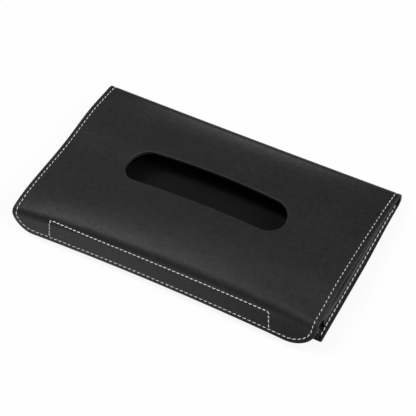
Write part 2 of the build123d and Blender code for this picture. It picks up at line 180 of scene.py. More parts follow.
def through_stations(values, s):
    """Natural cubic through the stations. Its second derivatives solve a three-diagonal
    system, and each span mixes the values and second derivatives of its two ends."""
    gap = np.diff(STATIONS)
    slope = np.diff(values, axis=0) / gap[:, None]
    system = np.diag(np.r_[1, 2 * (gap[:-1] + gap[1:]), 1])
    system += np.diag(np.r_[0, gap[1:]], 1) + np.diag(np.r_[gap[:-1], 0], -1)
    ends = np.zeros((1, values.shape[1]))
    bend = np.linalg.solve(system, np.r_[ends, 6 * np.diff(slope, axis=0), ends])
    s = np.clip(s, STATIONS[0], STATIONS[-1])
    i = np.clip(np.searchsorted(STATIONS, s) - 1, 0, len(gap) - 1)
    t = (s - STATIONS[i])[..., None]
    h = gap[i][..., None]
    straight = slope[i] - h * (2 * bend[i] + bend[i + 1]) / 6
    return values[i] + t * (straight + t * (bend[i] / 2 + t * (bend[i + 1] - bend[i]) / (6 * h)))


def shares_at(x):
    """Shares of the left, middle and right value on the parabola through all three."""
    t = x / half
    return np.stack([(t * t - t) / 2, 1 - t * t, (t * t + t) / 2], -1)


def across(values, x, s):
    """Value at x and s of a table with one row for each station."""
    return (through_stations(values, s) * shares_at(x)).sum(-1)


print("middle of the slot rises", across(RISE, np.zeros(1), STATIONS[4:5])[0], "mm")

# %% [markdown]
# Four smaller forms lie over it. The back sags and spreads beside the bands, the fold line
# wanders, the lid curves down before the near bend, and a low hump lies beside the spine.
# Each is a product of smooth steps, which is easy to move and leaves no kink.

# %% Sag, fold line, swell and hump
BACK_SAG = 0.9
BACK_SPREAD = 0.7
BAND_ZONE = 84.0
SAG_END = 8.0
SAG_RUN = 50.0
FOLD_LEAD = np.array([-6.0, 3.2, 2.5])
LEAD_START = S_BEND - 45.0
LEAD_RUN = 38.0
SWELL = 1.9
SWELL_START = S_BEND - 62.0
SWELL_RISE = 44.0
SWELL_RUN = 20.0
SWELL_TAIL = 5.0
RIGHT_START = 30.0
RIGHT_RUN = 55.0
RIGHT_SHORTER = 0.62
RIGHT_LOWER = 0.4
FAR_LIFT = 2.3
FAR_RUN = 30.0


def ease(value, start=0.0, run=1.0):
    """Smooth step from 0 at start to 1 at a run beyond it."""
    t = np.clip((value - start) / run, 0, 1)
    return t * t * (3 - 2 * t)


def free_back(x, s):
    """1 at the back's two ends beside the bands, where nothing lies under it, and 0
    between the bands and towards the spine."""
    beside = ease(np.abs(x), BAND_ZONE, half - BAND_ZONE)
    return beside * ease(S_SPINE - s, SAG_END, SAG_RUN)


def fold_lead(x, s):
    """How much earlier the near bend starts at x, and nothing on the lid."""
    return (shares_at(x) * FOLD_LEAD).sum(-1) * ease(s, LEAD_START, LEAD_RUN)


def swell(x, s):
    """The lid curves down over its last stretch instead of staying flat up to the bend:
    a rise that comes slowly and goes by the cube of the way to the fold. Towards the
    right end it gets lower and shorter, and the fold sharper."""
    right = ease(x, RIGHT_START, RIGHT_RUN)
    run = SWELL_RUN * (1 - RIGHT_SHORTER * right)
    before = np.clip((s - S_BEND + run) / run, 0, 1)
    after = np.clip(1 - (s - S_BEND) / SWELL_TAIL, 0, 1)
    tail = SWELL_TAIL / run
    fall = np.where(s < S_BEND, before**3, 1 + tail * (1 - after**3)) / (1 + tail)
    width = (1 - (x / half) ** 6) * (1 - RIGHT_LOWER * right)
    return SWELL * width * (ease(s, SWELL_START, SWELL_RISE) - fall)


def far_lift(x, s):
    """Close to the spine fold the middle of the lid rises steeply, then lies flatter: a
    low hump by t(1 - t)^2, which is 4/27 at its top, a third of the way along it."""
    t = np.clip((s - S_LID) / FAR_RUN, 0, 1)
    return FAR_LIFT * (1 - (x / half) ** 2) * 27 / 4 * t * (1 - t) ** 2


print("the back sags", BACK_SAG, "mm and the lid swells", SWELL, "mm")

# %% [markdown]
# The outline of the sheet is a rectangle in x and s with four rounded corners, and the
# slot is a stadium. The distance to the nearest cut edge steers nearly everything that
# follows: where the rim rounds off, where the seams lie and where the edges are worn.

# %% Outline and slot
BACK_CORNER = 1.2
LEFT_CORNER = 15.9
RIGHT_CORNER = 20.6
SLOT_HALF = 61.0
SLOT_RADIUS = 12.75
SLOT_SPINE = SLOT_HALF - SLOT_RADIUS
SLOT_BULGE = 0.27
SLOT_DRAW = 0.07
SLOT_FADE = 75.0
S_SLOT = S_LID + 0.505 * LID_RUN


def corner_radius(x, s):
    """The rounding of the outline's corner in the quarter that holds x and s."""
    return np.where(s < S_END / 2, BACK_CORNER, np.where(x < 0, LEFT_CORNER, RIGHT_CORNER))


def outline_distance(x, s):
    """How far a point lies inside the rounded rectangle: positive inside."""
    r = corner_radius(x, s)
    beside = np.abs(x) - half + r
    beyond = np.abs(s - S_END / 2) - S_END / 2 + r
    outside = np.hypot(np.maximum(beside, 0), np.maximum(beyond, 0))
    return r - outside - np.minimum(np.maximum(beside, beyond), 0)


def slot_reach(x, off):
    """The slot isn't a plain stadium. It reaches further towards the spine, most of all
    in its middle, and draws in a little at its near lip."""
    middle = 1 - (x / SLOT_FADE) ** 2
    return np.where(off < 0, 1 + SLOT_BULGE * middle, 1 - SLOT_DRAW * middle)


def slot_distance(x, s):
    """How far a point lies outside the slot: outside the stadium, once the reach of the
    slot is divided out."""
    off = (s - S_SLOT) / slot_reach(x, s - S_SLOT)
    return np.hypot(x - np.clip(x, -SLOT_SPINE, SLOT_SPINE), off) - SLOT_RADIUS


print("middle of the slot to the near bend:", round(S_BEND - S_SLOT, 1), "mm")

# %% [markdown]
# The thread pulls the plies together, so a shallow groove runs under each seam. The main
# seam keeps the same distance to the edge on the lid and the flap, and comes closer to the
# edge under the back, where it holds the side walls.

# %% Seams and the sheet itself
LID_SEAM_INSET = 3.5
BACK_SEAM_INSET = 1.6
GROOVE_DEPTH = 0.22
GROOVE_WIDTH = 0.75
PANEL_TOP_HALF = 82.5
PANEL_FOOT_HALF = 84.5
PANEL_TOP = S_FLAP - 1.7
PANEL_FOOT = S_END - LID_SEAM_INSET
PANEL_SHIFT = -1.5


def seam_inset(s):
    """Distance from the edge to the main seam."""
    share = ease(s, S_SPINE - 6, S_LID - S_SPINE)
    return BACK_SEAM_INSET + (LID_SEAM_INSET - BACK_SEAM_INSET) * share


def panel_distance(x, s):
    """Distance to the two sides and the top of the trapezoid seam on the flap."""
    share = np.clip((s - PANEL_TOP) / (PANEL_FOOT - PANEL_TOP), 0, 1)
    width = PANEL_TOP_HALF + (PANEL_FOOT_HALF - PANEL_TOP_HALF) * share
    off = np.abs(x - PANEL_SHIFT)
    to_top = np.hypot(np.maximum(off - PANEL_TOP_HALF, 0), s - PANEL_TOP)
    beyond = np.maximum(PANEL_TOP - s, 0) + np.maximum(s - PANEL_FOOT, 0)
    return np.minimum(to_top, np.hypot(off - width, beyond))


def groove(x, s):
    """Depth of the grooves: a bell curve of the distance to each seam."""
    main = (outline_distance(x, s) - seam_inset(s)) / GROOVE_WIDTH
    panel = panel_distance(x, s) / GROOVE_WIDTH
    return GROOVE_DEPTH * np.maximum(np.exp(-main * main), np.exp(-panel * panel))


def raw_sheet(x, s):
    """Outer face before the grooves: the firm section moved by the soft form."""
    lead = fold_lead(x, s)
    y, z = section(s + lead)
    free = free_back(x, s)
    wide = x + np.sign(x) * BACK_SPREAD * free
    y = y + lead + across(OUTWARD, x, s)
    z = z + across(RISE, x, s) + swell(x, s + lead) + far_lift(x, s) - BACK_SAG * free
    return np.stack([wide, y, z], -1)


def unit(vectors):
    """The same directions, at length 1."""
    return vectors / np.linalg.norm(vectors, axis=-1, keepdims=True)


def sheet_normal(x, s):
    """Outward unit normal: the cross product of the slopes along s and along x."""
    e = 0.05
    along_x = raw_sheet(x + e, s) - raw_sheet(x - e, s)
    along_s = raw_sheet(x, s + e) - raw_sheet(x, s - e)
    return unit(np.cross(along_s, along_x))


def sheet(x, s, depth=0.0):
    """A point of a ply: the outer face, sunk by its depth and by the groove over it."""
    return raw_sheet(x, s) - sheet_normal(x, s) * np.asarray(depth + groove(x, s))[..., None]


print("grooves under the seams:", GROOVE_DEPTH, "mm deep")

# %% [markdown]
# A ply is a closed shell. A flat net of four-sided cells fills its outline in x and s, the
# net is laid on the sheet twice, at the ply's two depths, and a rounded rim joins the two
# along every open edge. Round the slot the net leaves a window, and rings of cells lead
# from the window to the stadium.

# %% Nets in x and s
SPLIT = S_LID + 12.0
WINDOW_X = 70.0
WINDOW_S = 25.0
EDGE_ZONE = 27.0
BACK_ZONE = 100.0
FOLD_ZONE = 4.0
LID_ZONE = 6.0
CLOSEST = 0.05
ROUND_TO = 6
RINGS = 9
RING_CROWDING = 1.7


def spread(start, end, step):
    """Evenly spaced values from start to end, at most step apart."""
    return np.linspace(start, end, int(np.ceil((end - start) / step)) + 1)


def spread_over(stops, steps):
    """The spans between the stops, each spread by its own step."""
    spans = zip(stops[:-1], stops[1:], steps)
    return np.concatenate([spread(start, end, step) for start, end, step in spans])


def lines_across(fine, coarse):
    """Net lines in x, fine in the zone of the seams and coarse between."""
    inner = half - EDGE_ZONE
    stops = (-half, -inner, -WINDOW_X, WINDOW_X, inner, half)
    lines = spread_over(stops, (fine, coarse, coarse, coarse, fine))
    return np.unique(lines.round(ROUND_TO))


def lines_along(start, end, inset, fine, coarse):
    """Net lines in s, fine over the bends, coarse on the flat and close at the corners."""
    stops = [BACK_CORNER, S_SPINE - BACK_ZONE, S_SPINE - FOLD_ZONE, S_LID + LID_ZONE]
    stops += [S_SLOT - WINDOW_S, S_SLOT + WINDOW_S, S_BEND - FOLD_ZONE, S_END - inset]
    lines = spread_over(stops, (fine, coarse, fine, coarse, coarse, coarse, fine))
    turn = np.linspace(0, np.pi / 2, 15)
    flap_turn = S_END - inset - (RIGHT_CORNER - inset) * (1 - np.sin(turn))
    back_turn = inset + (BACK_CORNER - inset) * (1 - np.cos(turn[::2]))
    lines = np.unique(np.r_[lines, flap_turn, back_turn, start, end].round(ROUND_TO))
    margin = 10.0**-ROUND_TO
    lines = lines[(lines >= start - margin) & (lines <= end + margin)]
    keep = np.r_[True, np.diff(lines) > CLOSEST]
    keep[-1] = True
    return lines[keep]


def half_width(x, s, inset):
    """Half width of the outline at s, on the side of x: at a corner, the circle's chord."""
    r = np.maximum(corner_radius(x, s) - inset, 0.0)
    edge = np.where(s < S_END / 2, inset + r - s, s - S_END + inset + r)
    chord = np.sqrt(np.maximum(r * r - np.maximum(edge, 0) ** 2, 0))
    return half - inset - r + chord


def plain_net(x, s):
    """Points (x, s) of a grid, and its cells as rows of four point numbers."""
    index = np.arange(x.size).reshape(x.shape)
    cells = np.stack([index[:-1, :-1], index[:-1, 1:], index[1:, 1:], index[1:, :-1]], -1)
    return np.stack([x, s], -1).reshape(-1, 2), cells.reshape(-1, 4)


def net(start, end, inset, slot_grow, fine, coarse):
    """Cells over the outline between start and end. Each cross line is stretched to the
    width of the outline at its s, and a window is left round the slot if it grows."""
    shares = lines_across(fine, coarse) / half
    rows = lines_along(max(start, inset), min(end, S_END - inset), inset, fine, coarse)
    share, s = np.meshgrid(shares, rows, indexing="ij")
    points, cells = plain_net(share * half_width(share, s, inset), s)
    if slot_grow is None:
        return points, cells
    index = np.arange(share.size).reshape(share.shape)
    left, right = (np.abs(shares * half - x).argmin() for x in (-WINDOW_X, WINDOW_X))
    low, high = (np.abs(rows - v).argmin() for v in (S_SLOT - WINDOW_S, S_SLOT + WINDOW_S))
    keep = np.ones((len(shares) - 1, len(rows) - 1), bool)
    keep[left:right, low:high] = False
    ring = np.r_[
        index[left:right, low],
        index[right, low:high],
        index[right:left:-1, high],
        index[left, high:low:-1],
    ]
    return add_rings(points, cells[keep.ravel()], ring, slot_grow)


def add_rings(points, cells, ring, slot_grow):
    """Rings from a window's border to the stadium. Each border point has a partner on the
    stadium, in the direction from the stadium's spine line to that point."""
    border = points[ring]
    spine_x = np.clip(border[:, 0], -SLOT_SPINE, SLOT_SPINE)
    spine = np.stack([spine_x, np.full(len(ring), S_SLOT)], -1)
    stadium = spine + unit(border - spine) * (SLOT_RADIUS + slot_grow)
    off = stadium[:, 1] - S_SLOT
    stadium[:, 1] = S_SLOT + off * slot_reach(stadium[:, 0], off)
    share = 1 - (1 - np.arange(1, RINGS + 1) / RINGS) ** RING_CROWDING
    rings = border + share[:, None, None] * (stadium - border)
    new_numbers = len(points) + np.arange(RINGS * len(ring)).reshape(RINGS, -1)
    number = np.vstack([ring, new_numbers])
    following = np.roll(number, -1, axis=1)
    new = np.stack([number[:-1], number[1:], following[1:], following[:-1]], -1).reshape(-1, 4)
    return np.vstack([points, rings.reshape(-1, 2)]), np.vstack([cells, new])


print("the sheet's two parts meet", round(SPLIT - S_LID, 1), "mm past the spine")

# %% [markdown]
# The shell needs to know which way is out at an edge. The slope of the distance function
# tells it, so no edge has to be followed round in order: an edge of the net is a side that
# only one cell has.

# %% Closed shells
RIM_REACH = 0.2


def turn_cells(points, cells):
    """Cells in one winding, so that all faces look out: the ones wound the other way, as
    their area in x and s tells, are reversed."""
    p = points[cells]
    q = np.roll(p, -1, axis=1)
    area = (p[..., 0] * q[..., 1] - q[..., 0] * p[..., 1]).sum(1)
    return np.where((area > 0)[:, None], cells[:, ::-1], cells)


def open_sides(cells, count):
    """Sides that belong to one cell only, as pairs of points in that cell's order."""
    pairs = cells[:, [0, 1, 1, 2, 2, 3, 3, 0]].reshape(-1, 2)
    forward = pairs[:, 0] * count + pairs[:, 1]
    backward = pairs[:, 1] * count + pairs[:, 0]
    return pairs[~np.isin(forward, backward)]


def way_out(points, distance, reach):
    """Unit direction towards the cut edge, and nothing further than reach from it."""
    e = 0.01
    x, s = points.T
    across_edge = distance(x - e, s) - distance(x + e, s)
    along_edge = distance(x, s - e) - distance(x, s + e)
    slope = np.stack([across_edge, along_edge], -1)
    slope /= np.maximum(np.linalg.norm(slope, axis=1, keepdims=True), 1e-9)
    return slope * (distance(x, s) < reach)[:, None]


def level(depth, points):
    """A depth at each point, from a number or a function of x and s."""
    return depth(*points.T) if callable(depth) else np.full(len(points), float(depth))


def shell(net_parts, top, bottom, rounding, distance, limits, steps=3):
    """Closed ply between two depths over a net. From the rim, whose points stand rounding
    inside the edge, a quarter turn goes out by rounding * sin(a) and down by
    rounding * (1 - cos(a)), and a mirrored one comes back at the other face. Returns
    points, faces, points in x and s, and a number per face: 1 on the rim's side."""
    points, cells = net_parts
    cells = turn_cells(points, cells)
    sides = open_sides(cells, len(points))
    rim = np.unique(sides)
    out = way_out(points[rim], distance, rounding + RIM_REACH)
    turn = np.linspace(0, np.pi / 2, steps + 1)[1:]
    outs, drops = rounding * np.sin(turn), rounding * (1 - np.cos(turn))
    levels = [(step, top, drop) for step, drop in zip(outs, drops)]
    levels += [(step, bottom, -drop) for step, drop in zip(outs[::-1], drops[::-1])]
    flat, depth = [points], [level(top, points)]
    for step, face, drop in levels:
        moved = points[rim] + out * step
        moved[:, 1] = np.clip(moved[:, 1], *limits)
        flat.append(moved)
        depth.append(level(face, points[rim]) + drop)
    flat.append(points)
    depth.append(level(bottom, points))
    starts = np.cumsum([0] + [len(part) for part in flat])
    number = np.zeros(len(points), int)
    number[rim] = np.arange(len(rim))
    loops = [sides] + [number[sides] + begin for begin in starts[1:-2]] + [sides + starts[-2]]
    strips = [
        np.column_stack([upper[:, 1], upper[:, 0], lower[:, 0], lower[:, 1]])
        for upper, lower in zip(loops[:-1], loops[1:])
    ]
    faces = np.vstack([cells, cells[:, ::-1] + starts[-2], *strips])
    on_side = np.zeros(len(faces), int)
    on_side[2 * len(cells) + steps * len(sides) :] = 1
    flat = np.vstack(flat)
    return sheet(*flat.T, np.concatenate(depth)), faces, flat, on_side


# %% A piece from points and faces
def make_piece(name, points, faces, material, smooth=True):
    """A mesh object at the origin, from points in millimetres."""
    mesh = bpy.data.meshes.new(name)
    mesh.from_pydata((points * MM).tolist(), [], [list(face) for face in faces])
    mesh.polygons.foreach_set("use_smooth", np.full(len(mesh.polygons), smooth))
    mesh.materials.append(material)
    piece = add_object(name, mesh)
    print(name, "faces:", len(faces))
    return piece


def add_mark(piece, name, values):
    """A number for each point, or one for all, which the material reads by its name."""
    attribute = piece.data.attributes.new(name, "FLOAT", "POINT")
    count = len(piece.data.vertices)
    attribute.data.foreach_set("value", np.full(count, values, np.float32))


# %% [markdown]
# Shader maths reads best as plain sums. A small class wraps a socket, and the usual
# operators on it add Math nodes. One method of the finish adds any other node.

# %% A small language for finishes
class Wire:
    """The value of a socket, which can stand in a sum, a difference or a product."""

    def __init__(self, finish, socket):
        self.finish = finish
        self.socket = socket

    def maths(self, operation, first, second=0.0):
        return self.finish.node("Math", {"operation": operation}, {0: first, 1: second})

    def __add__(self, other):
        return self.maths("ADD", self, other)

    def __sub__(self, other):
        return self.maths("SUBTRACT", self, other)

    def __rsub__(self, other):
        return self.maths("SUBTRACT", other, self)

    def __mul__(self, other):
        return self.maths("MULTIPLY", self, other)

    __radd__ = __add__
    __rmul__ = __mul__

    def sine(self):
        return self.maths("SINE", self)

    def up_to(self, other):
        return self.maths("MINIMUM", self, other)


class Finish:
    """A material with one Principled shader, and nodes added by plain calls."""

    def __init__(self, name, **constants):
        self.material = bpy.data.materials.new(name)
        self.material.use_nodes = True
        self.tree = self.material.node_tree
        self.shader = self.tree.nodes["Principled BSDF"]
        self.wire(**constants)

    def wire(self, **sockets):
        """Feeds the shader's sockets, named with underscores, and gives the material."""
        for key, value in sockets.items():
            self.feed(self.shader.inputs[key.replace("_", " ")], value)
        return self.material

    def node(self, kind, settings=None, inputs=None, output=0):
        """Any node: its type, then its settings, then what its sockets hold."""
        made = self.tree.nodes.new("ShaderNode" + kind)
        for key, value in (settings or {}).items():
            setattr(made, key, value)
        for key, value in (inputs or {}).items():
            self.feed(made.inputs[key], value)
        return Wire(self, made.outputs[output])

    def feed(self, socket, value):
        if isinstance(value, Wire):
            self.tree.links.new(value.socket, socket)
        else:
            socket.default_value = value

    def place(self):
        """Object coordinates, in metres."""
        return self.node("TexCoord", output="Object")

    def axis(self, where, number):
        return self.node("SeparateXYZ", {}, {0: where}, output=number)

    def noise(self, where, size, detail=3.0, stretch=(1, 1, 1)):
        """Noise whose blotches are about size millimetres across, longer by stretch."""
        scale = [1 / (size * MM * share) for share in stretch]
        spot = self.node("VectorMath", {"operation": "MULTIPLY"}, {0: where, 1: scale})
        return self.node("TexNoise", {}, {"Vector": spot, "Scale": 1.0, "Detail": detail})

    def creases(self, where, size):
        """Distance to the nearest border between cells about size millimetres across."""
        inputs = {"Vector": where, "Scale": 1 / (size * MM)}
        return self.node("TexVoronoi", {"feature": "DISTANCE_TO_EDGE"}, inputs)

    def attribute(self, name):
        return self.node("Attribute", {"attribute_name": name}, output="Fac")

    def step(self, value, low, high):
        """0 below low and 1 above high, with a soft step between."""
        inputs = {"Value": value, "From Min": low, "From Max": high}
        return self.node("MapRange", {"interpolation_type": "SMOOTHSTEP"}, inputs)

    def mix(self, share, first, second):
        """A colour between two colours. The Mix node has a row of sockets for each kind of
        value: its colours are sockets 6 and 7, and the mixed colour is output 2."""
        inputs = {0: share, 6: first, 7: second}
        return self.node("Mix", {"data_type": "RGBA"}, inputs, output=2)

    def relief(self, height, depth, strength=1.0):
        """Bump of that depth in millimetres."""
        inputs = {"Height": height, "Distance": depth * MM, "Strength": strength}
        return self.node("Bump", {}, inputs)


def grey(value, warm=0.0):
    """A colour near grey, a little warm or cool."""
    return (value * (1 + warm), value, value * (1 - warm), 1)


# %% [markdown]
# The leather is a fabric coated with soft black plastic and embossed with a fine grain.
# Pebbles of under a millimetre are parted by thin creases, whose colour is painted darker
# as painted shade. Larger grains of a few millimetres mottle it, handling leaves faint
# cloudy patches of more and less gloss, and the edges are painted a little lighter, partly
# as rubbed wear and partly as a painted highlight.

# %% Black leather and its painted edge
def leather_finish(name, tone):
    finish = Finish(name, Specular_IOR_Level=0.22)
    where = finish.place()
    pebbles_and_crease_shade = finish.step(finish.creases(where, 0.85), 0.0, 0.16)
    wobble = finish.noise(where, 1.6, detail=2.0)
    pores = finish.noise(where, 0.22, detail=2.0)
    mottle = finish.step(finish.noise(where, 3.0, detail=3.0), 0.3, 0.7)
    clouds = finish.noise(where, 24.0, detail=4.0)
    wear_and_highlight = finish.attribute("wear_and_rim_highlight")
    # Colour: clouds and mottle vary the tone at random, and the creases between pebbles are painted
    # darker as painted shade.
    tone_and_crease_shade = clouds * 0.4 + mottle * 0.4 + pebbles_and_crease_shade * 0.2
    colour = finish.mix(tone_and_crease_shade, grey(tone * 0.6), grey(tone * 1.4))
    # Edges are painted lighter: partly rubbed wear, partly a painted highlight.
    colour = finish.mix(wear_and_highlight * 0.55, colour, grey(tone * 3))
    height = pebbles_and_crease_shade * 0.6 + wobble * 0.5 + mottle * 0.8 + pores * 0.25
    return finish.wire(
        Base_Color=colour,
        Roughness=0.36 + clouds * 0.12 + (1 - pebbles_and_crease_shade) * 0.1 + wear_and_highlight * 0.08,
        Normal=finish.relief(height, 0.07, 0.8),
    )


def edge_paint_finish():
    """Black paint brushed along the cut edge: matt, with a faint waviness."""
    finish = Finish("edge_paint", Specular_IOR_Level=0.15, Roughness=0.75)
    waves = finish.noise(finish.place(), 1.2, detail=3.0)
    colour = finish.mix(waves, grey(0.004), grey(0.012))
    return finish.wire(Base_Color=colour, Normal=finish.relief(waves, 0.08, 0.6))


leather = leather_finish("black_leather", 0.012)
edge_paint = edge_paint_finish()
print("finishes:", leather.name, edge_paint.name)

# %% [markdown]
# The outer sheet has its hem turned in round the edge and round the slot, where it is
# twice as thick. It is made as two shells that meet on the lid, just past the spine. The
# first covers the back, the spine and the start of the lid, the second the rest of the lid,
# the near bend and the flap. Along the cut both keep the normals of the uncut sheet, so that no line
# shows.

# %% Outer sheet
LEATHER = 0.9
BOARD = 1.0
LINING = 0.4
GLUE = 0.05
BOARD_DEPTH = LEATHER + GLUE
BOARD_END = BOARD_DEPTH + BOARD
LINING_DEPTH = BOARD_END + GLUE
STACK = LINING_DEPTH + LINING
HEM = 7.0
SLOT_HEM = 4.0
HEM_SLOPE = 1.2
EDGE_ROUNDING = 0.5
WEAR_AND_HIGHLIGHT_REACH = 0.5


def cover_depth(x, s):
    """Thickness of the outer sheet: one ply, and more where its hem is turned in."""
    inside_hem = np.maximum(HEM - outline_distance(x, s), SLOT_HEM - slot_distance(x, s))
    return LEATHER + (BOARD_END - LEATHER) * ease(inside_hem / HEM_SLOPE)


def ply(name, limits, depths, materials, inset=0.0, rounding=0.1, grow=None, steps=(1.2, 4.0)):
    """A ply of the sheet between two s, set in from the outline by inset and from the slot
    by grow. A second material goes on its rims. Returns the piece, its points in x and s,
    their distance to the edge and how many of them lie on the outer face."""

    def distance(x, s):
        around = outline_distance(x, s) - inset
        return around if grow is None else np.minimum(around, slot_distance(x, s) - grow)

    window = None if grow is None else grow + rounding
    parts = net(*limits, inset + rounding, window, *steps)
    space, faces, flat, side = shell(parts, *depths, rounding, distance, limits)
    piece = make_piece(name, space, faces, materials[0])
    if len(materials) > 1:
        piece.data.materials.append(materials[1])
        piece.data.polygons.foreach_set("material_index", side)
    return piece, flat, distance(*flat.T), len(parts[0])


def keep_normals(piece, flat, outer):
    """The uncut sheet's normals along the cut, on the outer face."""
    on_cut = np.abs(flat[:, 1] - SPLIT) < 1e-4
    on_cut[outer:] = False
    normals = np.zeros((len(flat), 3))
    normals[on_cut] = sheet_normal(*flat[on_cut].T)
    piece.data.normals_split_custom_set_from_vertices(normals.tolist())


def cover(name, limits, grow=None):
    """A part of the outer sheet, marked beside its edges, where its colour is painted lighter: partly
    rubbed wear, partly a painted highlight.
    """
    depths, materials = (0.0, cover_depth), (leather, edge_paint)
    fine = dict(rounding=EDGE_ROUNDING, grow=grow, steps=(0.7, 2.4))
    piece, flat, distance, outer = ply(name, limits, depths, materials, **fine)
    keep_normals(piece, flat, outer)
    add_mark(piece, "wear_and_rim_highlight", np.exp(-((distance / WEAR_AND_HIGHLIGHT_REACH) ** 2)))
    return piece


spine_sheet = cover("spine_sheet", (0.0, SPLIT))
lid_sheet = cover("lid_sheet", (SPLIT, S_END), grow=0.0)

# %% Places of the joints, and soft parts baked in place
def spot(y, z):
    """A place on the section, in metres."""
    return (0, y * MM, z * MM)


SPINE_TURN = (spot(spine_y, back_z + 2.5), spot(spine_y, back_z + 8.6))
FLAP_TURN = (spot(bend_y, crest_z - 1.5), spot(bend_y - bend_radius, crest_z - bend_radius))


def follow_lid(piece, *nodes):
    """A piece from the base round the spine to the lid: its place is baked into its mesh, and the
    imported nodes that it stands for are hidden.
    """
    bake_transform(piece)
    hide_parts(*nodes)


def follow_flap(piece, *nodes):
    """A piece from the lid round the near bend to the flap: its place is baked into its mesh, and the
    imported nodes that it stands for are hidden.
    """
    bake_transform(piece)
    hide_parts(*nodes)


def stand_on(piece, body, *nodes):
    """Moves with one body as a stiff piece."""
    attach(piece, body)
    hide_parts(*nodes)


follow_lid(spine_sheet, "back_cover", "spine_cover")
follow_flap(lid_sheet, "lid_cover", "bend_cover", "flap_cover")

# %% [markdown]
# Grey board stiffens the lid and the flap. It lies between the leather and the lining, in
# the bay that the turned hem leaves, and nobody sees it before the case is taken apart.

# %% Boards
def board_finish():
    finish = Finish("grey_board", Roughness=0.9, Specular_IOR_Level=0.2)
    where = finish.place()
    fibres = finish.noise(where, 1.4, detail=5.0, stretch=(4, 1, 1))
    flecks = finish.step(finish.noise(where, 0.9, detail=1.0), 0.66, 0.72)
    colour = finish.mix(fibres, grey(0.20, 0.06), grey(0.34, 0.06))
    return finish.wire(
        Base_Color=finish.mix(flecks * 0.6, colour, grey(0.08, 0.1)),
        Normal=finish.relief(fibres, 0.05, 0.5),
    )


def dress(node, material):
    """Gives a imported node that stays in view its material."""
    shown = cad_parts[node]
    shown.data.materials.clear()
    shown.data.materials.append(material)
    return shown


grey_board = board_finish()
BOARD_GAP = 0.3
for name, limits, grow, body, node in (
    ("lid_stiffener", (S_LID + BOARD_GAP, S_BEND - BOARD_GAP), SLOT_HEM + BOARD_GAP, "lid", "lid_board"),
    ("flap_stiffener", (S_FLAP + BOARD_GAP, S_END), None, "flap", "flap_board"),
):
    depths, inset = (BOARD_DEPTH, BOARD_END), HEM + BOARD_GAP
    board = ply(name, limits, depths, (grey_board,), inset=inset, grow=grow)[0]
    stand_on(board, body, node)
for node in ("back_board", "front_wall_board"):
    dress(node, grey_board)

# %% [markdown]
# The lining is a thin black cloth glued to the inside. It is cut nearly flush with the
# leather, and its cut edge shows as a fine grey line under the rim and in the slot.

# %% Lining
def lining_finish():
    finish = Finish("lining_cloth", Roughness=0.9, Specular_IOR_Level=0.12)
    where = finish.place()
    fibres = finish.noise(where, 0.5, detail=4.0, stretch=(3, 1, 1))
    felt = finish.noise(where, 0.25, detail=3.0)
    cut = finish.attribute("cut")
    colour = finish.mix(fibres, grey(0.003), grey(0.007))
    return finish.wire(
        Base_Color=finish.mix(cut * 0.8, colour, grey(0.09)),
        Normal=finish.relief(fibres + felt, 0.05),
    )


lining_cloth = lining_finish()
LINING_INSET = 0.12
LINING_ROUNDING = 0.08
CUT_REACH = 0.05


def lining(name, limits, grow=None):
    """A part of the lining, marked where its edge is cut."""
    depths = (LINING_DEPTH, STACK)
    set_in = dict(inset=LINING_INSET, rounding=LINING_ROUNDING, grow=grow)
    piece, _, distance, _ = ply(name, limits, depths, (lining_cloth,), **set_in)
    add_mark(piece, "cut", distance < CUT_REACH)
    return piece


lid_cloth = lining("lid_cloth", (SPLIT, S_END), grow=0.3)
spine_cloth = lining("spine_cloth", (S_SPINE, SPLIT))
follow_flap(lid_cloth, "lid_lining", "bend_lining", "flap_lining")
follow_lid(spine_cloth, "spine_lining")
add_mark(dress("back_lining", lining_cloth), "cut", 0.0)

# %% [markdown]
# Behind the flap a panel of lining cloth is sewn on by the trapezoid of stitches, and
# holds two flat magnets. It stands out over the magnets and lies thin elsewhere.

# %% Magnet panel
MAGNET_X = 55.0
MAGNET_LENGTH = 20.0
MAGNET_HEIGHT = 7.0
MAGNET_THICKNESS = 1.4
MAGNET_SLOPE = 2.4
MAGNET_DROP = 8.6
S_MAGNET = S_FLAP + MAGNET_DROP
PANEL_SKIN = 0.7
PANEL_MARGIN = 0.7
PANEL_ROUNDING = 0.25
PANEL_START = S_FLAP + 1.2
PANEL_LOW = S_FLAP + 0.6
PANEL_HIGH = PANEL_FOOT + PANEL_MARGIN


def off_magnet(x, s):
    """How far a point lies beyond the nearer magnet's edges, negative inside."""
    beside = np.abs(np.abs(x) - MAGNET_X) - MAGNET_LENGTH / 2
    return beside, np.abs(s - S_MAGNET) - MAGNET_HEIGHT / 2


def panel_depth(x, s):
    """The panel's inner face: a soft step over each magnet."""
    off = np.hypot(*np.maximum(off_magnet(x, s), 0))
    bulge = ease(1 - off / MAGNET_SLOPE) * (MAGNET_THICKNESS + 2 * GLUE)
    return STACK + GLUE + PANEL_SKIN + bulge


def panel_half(s):
    """Half width of the panel, from its top to its foot."""
    share = (s - PANEL_START) / (PANEL_FOOT - PANEL_START)
    return PANEL_TOP_HALF + (PANEL_FOOT_HALF - PANEL_TOP_HALF) * share + PANEL_MARGIN


def panel_edge(x, s):
    """Distance inside the trapezoid of the panel."""
    return np.minimum(panel_half(s) - np.abs(x), np.minimum(s - PANEL_LOW, PANEL_HIGH - s))


rows = spread(PANEL_LOW + PANEL_ROUNDING, PANEL_HIGH - PANEL_ROUNDING, 0.8)
share, s = np.meshgrid(np.linspace(-1, 1, 171), rows, indexing="ij")
panel_net = plain_net(share * (panel_half(s) - PANEL_ROUNDING), s)
on_flap = (S_FLAP, S_END)
panel_shell = shell(panel_net, STACK + GLUE, panel_depth, PANEL_ROUNDING, panel_edge, on_flap)
panel = make_piece("magnet_pocket", *panel_shell[:2], lining_cloth)
add_mark(panel, "cut", 0.0)
stand_on(panel, "flap", "magnet_panel")

